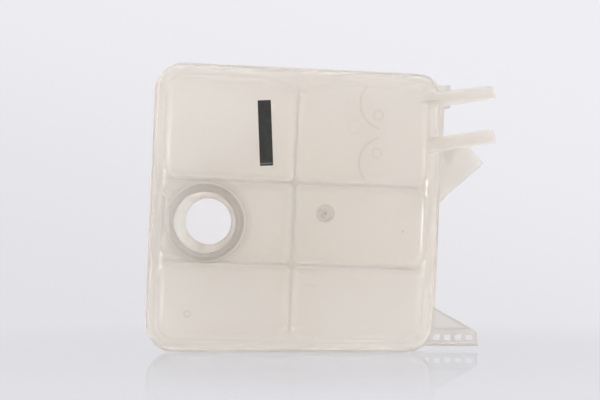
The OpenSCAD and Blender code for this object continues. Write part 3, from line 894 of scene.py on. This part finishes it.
def bracket():
    """Base plate, slotted rail, gusset and the gusset's rim."""
    nose = (BRACKET_X - NOSE_IN, RAIL_TOP - NOSE_DROP)
    high = (BRACKET_IN, nose[1] + (nose[0] - BRACKET_IN) * tan(BRACKET_SLOPE))
    low = (BRACKET_IN, BRACKET_BACK - BRACKET_DEPTH / 2, BRACKET_LIFT)
    base = box("base", low, (BRACKET_X, BRACKET_BACK + BRACKET_DEPTH / 2, BRACKET_LIFT + BRACKET_T))
    foot = [(BRACKET_IN, BRACKET_LIFT), (BRACKET_X, BRACKET_LIFT), (BRACKET_X, nose[1] - NOSE_H)]
    rail = upright_plate("rail", foot + [nose, (BRACKET_IN, nose[1])], RAIL_T)
    slot_z = BRACKET_LIFT + BRACKET_T + SLOT_UP
    slots = []
    for n in range(SLOTS):
        x = BRACKET_X - SLOT_FROM_END - SLOT_W - n * SLOT_PITCH
        low = (x, BRACKET_BACK - RAIL_T, slot_z)
        slots.append(box("slot", low, (x + SLOT_W, BRACKET_BACK + RAIL_T, slot_z + SLOT_H)))
    combine(rail, slots, "DIFFERENCE")
    web = [(BRACKET_IN, nose[1] - 1), (nose[0], nose[1] - 1), nose, high]
    toe = (nose[0] - RIM_TOE, nose[1] - BRACKET_T + RIM_TOE * tan(BRACKET_SLOPE))
    gusset = upright_plate("gusset", web, GUSSET_T)
    rim = upright_plate("rim", [(high[0], high[1] - BRACKET_T), toe, nose, high], RAIL_T)
    return [base, rail, gusset, rim]


def foot_ribs():
    """Two ribs under the rear half, down to the level that the flange stands on."""
    rib_h = FLANGE_LIP + ROLL_W / 2
    outline = [(0, 0), (FOOT_RIB_L, 0), (FOOT_RIB_L + rib_h, rib_h), (0, rib_h)]
    ribs = []
    for p in (COLUMN_W / 2, (COLUMN_W + BODY_W) / 2):
        at = Matrix.Translation((real(p, 0)[0], 0, 0)) @ turned_by("Z", 90) @ turned_by("X", 90)
        ribs.append(plate("foot_rib", outline, -FOOT_RIB_T / 2, FOOT_RIB_T / 2, at))
    return ribs


def front_shell(material):
    shell, hollow = half("front_shell_moulding", FRONT_DEPTH, -1)
    at_neck = facing_front(NECK_X, NECK_Z)
    nipples = [along_nipple(HIGH_NIPPLE_Z, HIGH_NIPPLE_RISE), along_nipple(LOW_NIPPLE_Z, LOW_NIPPLE_RISE)]
    throat_r = NECK_R - NECK_WALL / 2
    throat = round_bar("throat", [(throat_r, NECK_END - 1), (throat_r, RIM_OUT)], THROAT_STEPS, at_neck)
    combine(shell, [nipple(at) for at in nipples], "UNION")
    combine(shell, [hollow, throat] + [nipple_bore(at) for at in nipples], "DIFFERENCE")
    outer = [neck(at_neck), thread(at_neck), cap_stop(at_neck), shield(), gate_mark()]
    combine(shell, outer + baffles(FRONT_DEPTH, -1) + splash_walls(), "UNION")
    part_at_weld(shell, -1)
    return finish_piece(shell, material, "front_shell")


def rear_shell(material):
    shell, hollow = half("rear_shell_moulding", REAR_DEPTH, 1)
    at_outlet = along_outlet()
    combine(shell, [outlet(at_outlet)] + bracket() + foot_ribs(), "UNION")
    combine(shell, [hollow, outlet_bore(at_outlet)], "DIFFERENCE")
    combine(shell, baffles(REAR_DEPTH, 1), "UNION")
    part_at_weld(shell, 1)
    return finish_piece(shell, material, "rear_shell")


def strip_at(down):
    """x, z of the point on the strip's middle line that lies down below its top end."""
    q = BODY_H - STRIP_DOWN
    away = STRIP_L / 2 - down
    x = real(COLUMN_W, q)[0] - STRIP_IN - away * math.sin(math.radians(STRIP_LEAN))
    z = real(COLUMN_W - STRIP_IN, q)[1] + away * math.cos(math.radians(STRIP_LEAN))
    return x, z


def black_strip(material):
    x, z = strip_at(STRIP_L / 2)
    at = Matrix.Translation((x, -FRONT_DEPTH - STRIP_T, z)) @ turned_by("Y", -STRIP_LEAN)
    low = (-STRIP_W / 2, 0, -STRIP_L / 2)
    strip = box("black_strip_foam", low, (STRIP_W / 2, STRIP_T, STRIP_L / 2), at)
    soften(strip, STRIP_EDGE)
    return finish_piece(strip, material, "black_strip")


# Materials


def srgb(red, green, blue, alpha=1.0):
    """Linear colour of an sRGB colour given in 0 to 255."""
    def linear(value):
        value /= 255
        return value / 12.92 if value <= 0.04045 else ((value + 0.055) / 1.055) ** 2.4

    return (linear(red), linear(green), linear(blue), alpha)


class Nodes:
    """Short forms for adding nodes to a material."""

    def __init__(self, name, owner=None):
        self.material = owner or bpy.data.materials.new(name)
        self.material.use_nodes = True
        self.tree = self.material.node_tree
        self.tree.nodes.clear()

    def add(self, kind, **settings):
        node = self.tree.nodes.new("ShaderNode" + kind)
        for key, value in settings.items():
            if hasattr(node, key):
                setattr(node, key, value)
            else:
                node.inputs[key.replace("_", " ")].default_value = value
        return node

    def link(self, output, socket):
        self.tree.links.new(output, socket)

    def math(self, operation, *values):
        node = self.add("Math", operation=operation)
        for socket, value in zip(node.inputs, values):
            if isinstance(value, (int, float)):
                socket.default_value = value
            else:
                self.link(value, socket)
        return node.outputs["Value"]

    def times(self, value, *others):
        for other in others:
            value = self.math("MULTIPLY", value, other)
        return value

    def most(self, value, *others):
        for other in others:
            value = self.math("MAXIMUM", value, other)
        return value

    def fade(self, value, start, end, low, high):
        """low where value is at start or before it, high at end or past it, and smooth between them."""
        node = self.add("MapRange", interpolation_type="SMOOTHSTEP")
        self.link(value, node.inputs["Value"])
        for name, number in (("From Min", start), ("From Max", end), ("To Min", low), ("To Max", high)):
            node.inputs[name].default_value = number
        return node.outputs["Result"]

    def noise(self, place, scale, detail=3, roughness=0.55):
        node = self.add("TexNoise", Scale=scale, Detail=detail, Roughness=roughness)
        self.link(place, node.inputs["Vector"])
        return node.outputs["Fac"]

    def blend(self, share, first, second):
        """Colour that goes from first to second with share. Each is a colour or a socket."""
        node = self.add("Mix", data_type="RGBA")
        self.link(share, node.inputs["Factor"])
        for name, colour in (("A", first), ("B", second)):
            socket = next(i for i in node.inputs if i.name == name and i.type == "RGBA")
            if isinstance(colour, tuple):
                socket.default_value = colour
            else:
                self.link(colour, socket)
        return next(o for o in node.outputs if o.type == "RGBA")

    def mixed(self, share, first, second):
        """Shader that goes from first to second with share, which is a number or a socket."""
        node = self.add("MixShader")
        if isinstance(share, float):
            node.inputs["Fac"].default_value = share
        else:
            self.link(share, node.inputs["Fac"])
        self.link(first.outputs[0], node.inputs[1])
        self.link(second.outputs[0], node.inputs[2])
        return node


class Face:
    """Frame for marks on the tank's face: turned about a point and stretched, in millimetres."""

    def __init__(self, m, place, x, z, turn=0, stretch=(1, 1)):
        self.m = m
        own = m.add("Mapping", vector_type="TEXTURE")
        own.inputs["Location"].default_value = TO_ROW @ Vector((x, 0, z))
        own.inputs["Rotation"].default_value = (0, -math.radians(turn), 0)
        own.inputs["Scale"].default_value = (MM * stretch[0], MM, MM * stretch[1])
        m.link(place, own.inputs["Vector"])
        parts = m.add("SeparateXYZ")
        m.link(own.outputs["Vector"], parts.inputs["Vector"])
        self.across, self.back, self.up = parts.outputs
        square = m.math("ADD", m.math("POWER", self.across, 2), m.math("POWER", self.up, 2))
        self.far = m.math("SQRT", square)

    def disc(self, radius, soft=MARK_SOFT):
        return self.m.fade(self.far, radius - soft, radius + soft, 1, 0)

    def ring(self, radius, width, soft=MARK_SOFT):
        off = self.m.math("ABSOLUTE", self.m.math("SUBTRACT", self.far, radius))
        return self.m.fade(off, width / 2 - soft / 2, width / 2 + soft, 1, 0)

    def sector(self, half_turn, soft=2.0):
        """1 within half_turn degrees of the frame's own x axis."""
        turn = self.m.math("ABSOLUTE", self.m.math("ARCTAN2", self.up, self.across))
        return self.m.fade(turn, math.radians(half_turn - soft), math.radians(half_turn), 1, 0)

    def in_front(self, out, soft=1.0):
        """1 further than out in front of the weld plane."""
        return self.m.fade(self.back, -out - soft, -out, 1, 0)


def wall_shade_and_specks(m, place):
    """Painted shade where splash walls and posts meet the face from inside; faint rings, specks, scratches
    and a dark streak.
    """
    marks = []
    for z, (left, down, start), (post_x, post_z) in (
        (HIGH_NIPPLE_Z, HIGH_SPLASH, HIGH_POST),
        (LOW_NIPPLE_Z, LOW_SPLASH, LOW_POST),
    ):
        x = HIGH_NIPPLE_X - left
        z -= down
        wall = Face(m, place, x, z, start + SPLASH_TURN / 2)
        marks.append(m.times(wall.ring(SPLASH_R, SPLASH_T), wall.sector(SPLASH_TURN / 2)))
        foot = Face(m, place, x + post_x, z + post_z)
        marks.append(m.times(foot.ring((POST_R + POST_BORE_R) / 2, POST_R - POST_BORE_R), POST_SHADE))
    for x, z, radius, width, shade in FAINT_RINGS:
        marks.append(m.times(Face(m, place, x, z).ring(radius, width), shade))
    for x, z, half_l, half_w, turn, shade in SPECKS:
        marks.append(m.times(Face(m, place, x, z, turn, (half_l, half_w)).disc(1), shade))
    return marks


def dial_shade_marks(m, place):
    """Painted shade of the dial that the mould leaves: a disc with a darker edge, a pip and strokes."""
    dial_at = real(COLUMN_W + GATE_IN, LOW_GROOVE + GATE_UP)
    dial = Face(m, place, *dial_at)
    marks = [m.times(dial.disc(DIAL_R), DIAL_SHADE), m.times(dial.disc(DIAL_PIP_R), DIAL_DARK)]
    marks.append(m.times(dial.ring(DIAL_R - DIAL_EDGE_IN, DIAL_EDGE_W), DIAL_EDGE_SHADE))
    for radius, turn, half_turn in DIAL_STROKES:
        stroke = Face(m, place, *dial_at, turn)
        marks.append(m.times(stroke.ring(radius, DIAL_STROKE_W), stroke.sector(half_turn), DIAL_DARK))
    return marks


def groove_shade_marks(m, place):
    """Painted shade along the grooves, where the inner walls meet the face from inside."""
    marks = []
    for first, last, shade in GROOVE_SHADES:
        start = Vector(real(*first))
        run = Vector(real(*last)) - start
        middle = start + run / 2
        slope = math.degrees(math.atan2(run.y, run.x))
        line = Face(m, place, middle.x, middle.y, slope, (run.length / 2, GROOVE_MARK_HALF))
        marks.append(m.times(line.disc(1), shade))
    return marks


def neck_shade_marks(m, neck):
    """Painted shade of the neck's end and collar, painted shadow on the seat round the collar and painted
    shade in the funnel inside.
    """
    end = m.times(neck.ring((NECK_BORE_R + NECK_R + BAND_OUT) / 2, NECK_WALL + BAND_OUT), NECK_SHADE)
    collar = m.times(neck.ring(COLLAR_R - COLLAR_LINE_IN, COLLAR_LINE_W), COLLAR_SHADE)
    side = m.fade(neck.across, -NECK_R, NECK_R, *NECK_SIDES)
    seat_shadow = m.times(neck.ring(COLLAR_R + SEAT_OFF, SEAT_W, SEAT_SOFT), SEAT_SHADE)
    mouth = m.times(neck.disc(FUNNEL_R + FUNNEL_LINE), FUNNEL_LINE_SHADE)
    funnel = m.most(m.times(neck.disc(NECK_BORE_R), FUNNEL_SHADE), mouth)
    funnel_side = m.fade(neck.across, -NECK_BORE_R, NECK_BORE_R, *FUNNEL_SIDES)
    return [
        m.times(m.most(end, collar), side, neck.in_front(FRONT_DEPTH)),
        m.times(seat_shadow, neck.in_front(FRONT_DEPTH - MARK_DEPTH)),
        m.times(funnel, funnel_side, neck.in_front(0)),
    ]


def sheet_shade_marks(m, place):
    """Painted shade on the sheets that stand alone and along their edges, and not on the nipples in front
    of them.
    """
    marks = []
    for x, z, half_w, half_h, turn, shade in SHEET_SHADES:
        sheet = Face(m, place, x, z, turn, (half_w, half_h))
        behind = m.fade(sheet.back, SHEETS_FROM, SHEETS_TO, 0, 1)
        marks.append(m.times(sheet.disc(1, SHEET_SOFT), shade, behind))
    return marks


def plastic_marks(m, place):
    """Shares of three tints: painted shade with specks and scratches, painted shade along the grooves and
    a painted light patch.
    """
    neck = Face(m, place, NECK_X, NECK_Z)
    on_face = neck.in_front(FRONT_DEPTH - MARK_DEPTH)
    face = m.times(m.most(*wall_shade_and_specks(m, place), *dial_shade_marks(m, place)), on_face)
    shade_and_specks = m.most(face, *neck_shade_marks(m, neck), *sheet_shade_marks(m, place))
    grooves = m.times(m.most(*groove_shade_marks(m, place)), on_face)
    clear = m.times(neck.disc(LIT_PATCH_R, LIT_PATCH_SOFT), m.fade(neck.back, LIT_PATCH_FROM, LIT_PATCH_TO, 0, 1))
    return shade_and_specks, grooves, clear


def natural_plastic():
    """Milky polypropylene that lets light through, with flow streaks, fine scuffs and a moulded grain."""
    m = Nodes("natural_plastic")
    out = m.add("OutputMaterial")
    place = m.add("TexCoord").outputs["Object"]

    clouds = m.fade(m.noise(place, CLOUD_SCALE), *CLOUD_RANGE, 0, 1)
    tint = m.blend(clouds, SKIN_DARK, SKIN_LIGHT)
    # Painted shade darkens the tint at the marks and grooves, and painted light lightens it on the far
    # wall behind the neck
    shade_and_specks, grooves, clear = plastic_marks(m, place)
    tint = m.blend(m.times(shade_and_specks, MARK_SHARE), tint, SHADE_AND_SPECK_TINT)
    tint = m.blend(m.times(grooves, MARK_SHARE), tint, GROOVE_SHADE_TINT)
    tint = m.blend(clear, tint, PAINTED_LIGHT_TINT)
    scuffs = m.noise(place, SCUFF_SCALE, detail=4, roughness=0.6)
    grain = m.add("Bump", Strength=GRAIN_STRENGTH, Distance=GRAIN_DEPTH)
    m.link(m.noise(place, GRAIN_SCALE, detail=2, roughness=0.5), grain.inputs["Height"])

    skin = m.add("BsdfPrincipled", IOR=SKIN_IOR)
    skin.inputs["Transmission Weight"].default_value = 1.0
    skin.inputs["Coat Roughness"].default_value = COAT_ROUGHNESS
    from_middle = m.math("ABSOLUTE", Face(m, place, 0, 0, COAT_BAND_LEAN).across)
    band_start = m.fade(from_middle, COAT_BAND[0], COAT_BAND[1], 0, COAT_SHINE)
    band_end = m.fade(from_middle, COAT_BAND[2], COAT_BAND[3], 1, 0)
    m.link(m.math("ADD", m.times(band_start, band_end), COAT_PLAIN), skin.inputs["Coat Weight"])
    m.link(tint, skin.inputs["Base Color"])
    m.link(m.fade(scuffs, *SCUFF_RANGE, ROUGH_LOW, ROUGH_HIGH), skin.inputs["Roughness"])
    m.link(grain.outputs["Normal"], skin.inputs["Normal"])
    glow = m.add("BsdfTranslucent")
    m.link(tint, glow.inputs["Color"])
    m.link(m.mixed(SKIN_SPREAD, skin, glow).outputs["Shader"], out.inputs["Surface"])
    inside = m.add("VolumeAbsorption", Color=ABSORB_TINT, Density=ABSORB_PER_M)
    m.link(inside.outputs["Volume"], out.inputs["Volume"])
    return m.material


def black_foam():
    """Closed-cell foam tape: nearly black, with fine cells, paler worn patches and a paler foot."""
    m = Nodes("black_foam")
    out = m.add("OutputMaterial")
    place = m.add("TexCoord").outputs["Object"]
    worn = m.fade(m.noise(place, WORN_SCALE, detail=4, roughness=0.6), *WORN_RANGE, 0, 1)
    colour = m.blend(worn, FOAM_DARK, FOAM_LIGHT)
    foot = Face(m, place, *strip_at(STRIP_L - FOAM_LINE_UP), STRIP_LEAN, (STRIP_W, FOAM_LINE_W))
    colour = m.blend(foot.disc(1), colour, FOAM_LINE)
    cells = m.add("TexVoronoi", Scale=CELL_SCALE)
    m.link(place, cells.inputs["Vector"])
    bump = m.add("Bump", Strength=CELL_STRENGTH, Distance=CELL_DEPTH)
    m.link(cells.outputs["Distance"], bump.inputs["Height"])
    skin = m.add("BsdfPrincipled")
    skin.inputs["Specular IOR Level"].default_value = FOAM_SHINE
    m.link(colour, skin.inputs["Base Color"])
    m.link(m.fade(worn, 0, 1, *FOAM_ROUGHNESS), skin.inputs["Roughness"])
    m.link(bump.outputs["Normal"], skin.inputs["Normal"])
    m.link(skin.outputs["BSDF"], out.inputs["Surface"])
    return m.material


# Stage: floor, light and camera
BACKGROUND_LOW = srgb(225, 225, 230)
BACKGROUND_HIGH = srgb(239, 238, 243)
BACKGROUND_SPAN = 0.09
BACKGROUND_LEAN = 0.3
THROUGH_LIFT = 0.035
WORLD_LIGHT = 0.94
FLOOR_HALF = 3.0
FLOOR_TINT = srgb(228, 230, 234)
FLOOR_CLEAR = 0.91
FLOOR_IOR = 1.5
FLOOR_ROUGHNESS = 0.04
FLOOR_MIRROR = 0.55
FLOOR_FADE = (0.16, 0.5)
# Lamps as name, place, aim, size and power
LAMPS = (
    ("key", (-0.9, -1.2, 1.3), (0, 0, 0.1), (0.9, 0.9), 2.0),
    ("back", (0, 1.0, 1.6), (0, 0, 0.1), (1.2, 1.2), 2.2),
    ("left", (-0.95, -0.85, 0.12), (0, 0, 0.1), (0.26, 0.36), 4.2),
    ("right", (0.95, -0.85, 0.05), (0, 0, 0.1), (0.26, 0.2), 4.6),
    ("low", (0, -0.5, -0.7), (0, 0, 0.05), (0.8, 0.5), 1.0),
)
CAMERA_X = 8.8
CAMERA_Y = -1714.0
CAMERA_Z = 108.5
CAMERA_LENS = 144
CAMERA_SENSOR = 36
CAMERA_CLIP = 20


def stage_floor():
    """Pale sheet, nearly clear round the tank and quite clear further out, with a faint mirror image."""
    mesh = bpy.data.meshes.new("floor")
    corners = [(x * FLOOR_HALF, y * FLOOR_HALF, 0) for x, y in ((-1, -1), (1, -1), (1, 1), (-1, 1))]
    mesh.from_pydata(corners, [], [(0, 1, 2, 3)])
    floor = bpy.data.objects.new("floor", mesh)
    bpy.context.collection.objects.link(floor)
    m = Nodes("floor")
    out = m.add("OutputMaterial")
    length = m.add("VectorMath", operation="LENGTH")
    m.link(m.add("TexCoord").outputs["Object"], length.inputs[0])
    far = length.outputs["Value"]
    white = m.add("BsdfDiffuse", Color=FLOOR_TINT)
    body = m.mixed(m.fade(far, *FLOOR_FADE, FLOOR_CLEAR, 1), white, m.add("BsdfTransparent"))
    fresnel = m.add("Fresnel", IOR=FLOOR_IOR)
    polish = m.times(fresnel.outputs["Fac"], m.fade(far, *FLOOR_FADE, FLOOR_MIRROR, 0))
    mirror = m.add("BsdfGlossy", Roughness=FLOOR_ROUGHNESS)
    m.link(m.mixed(polish, body, mirror).outputs["Shader"], out.inputs["Surface"])
    mesh.materials.append(m.material)


def stage_world():
    """Even light. What looks past the tank sees a backdrop that is brighter upwards and to the right."""
    world = bpy.data.worlds.new("studio")
    bpy.context.scene.world = world
    m = Nodes("studio", world)
    out = m.add("OutputWorld")
    light = m.add("Background", Color=(1, 1, 1, 1), Strength=WORLD_LIGHT)
    way = m.add("SeparateXYZ")
    m.link(m.add("TexCoord").outputs["Generated"], way.inputs["Vector"])
    path = m.add("LightPath").outputs
    through = m.most(path["Is Glossy Ray"], path["Is Transmission Ray"])
    height = m.math("ADD", way.outputs["Z"], m.times(way.outputs["X"], BACKGROUND_LEAN))
    height = m.math("ADD", height, m.times(through, THROUGH_LIFT))
    height = m.fade(height, -BACKGROUND_SPAN, BACKGROUND_SPAN, 0, 1)
    seen = m.add("Background")
    m.link(m.blend(height, BACKGROUND_LOW, BACKGROUND_HIGH), seen.inputs["Color"])
    both = m.mixed(m.most(path["Is Camera Ray"], through), light, seen)
    m.link(both.outputs["Shader"], out.inputs["Surface"])


def lamp(name, place, target, size, power):
    data = bpy.data.lights.new(name, "AREA")
    data.shape = "RECTANGLE"
    data.size, data.size_y = size
    data.energy = power
    light = bpy.data.objects.new(name, data)
    bpy.context.collection.objects.link(light)
    light.location = place
    light.visible_camera = False
    light.rotation_euler = (Vector(target) - Vector(place)).to_track_quat("-Z", "Y").to_euler()


def camera():
    data = bpy.data.cameras.new("camera")
    data.lens = CAMERA_LENS
    data.sensor_width = CAMERA_SENSOR
    data.clip_end = CAMERA_CLIP
    viewer = bpy.data.objects.new("camera", data)
    viewer.location = TO_ROW @ Vector((CAMERA_X, CAMERA_Y, CAMERA_Z))
    viewer.rotation_euler = (math.pi / 2, 0, 0)
    bpy.context.collection.objects.link(viewer)
    bpy.context.scene.camera = viewer


camera()
stage_floor()
stage_world()
for row in LAMPS:
    lamp(*row)
plastic = natural_plastic()
front_shell(plastic)
rear_shell(plastic)
black_strip(black_foam())

view = bpy.context.scene.view_settings
view.view_transform = "Standard"
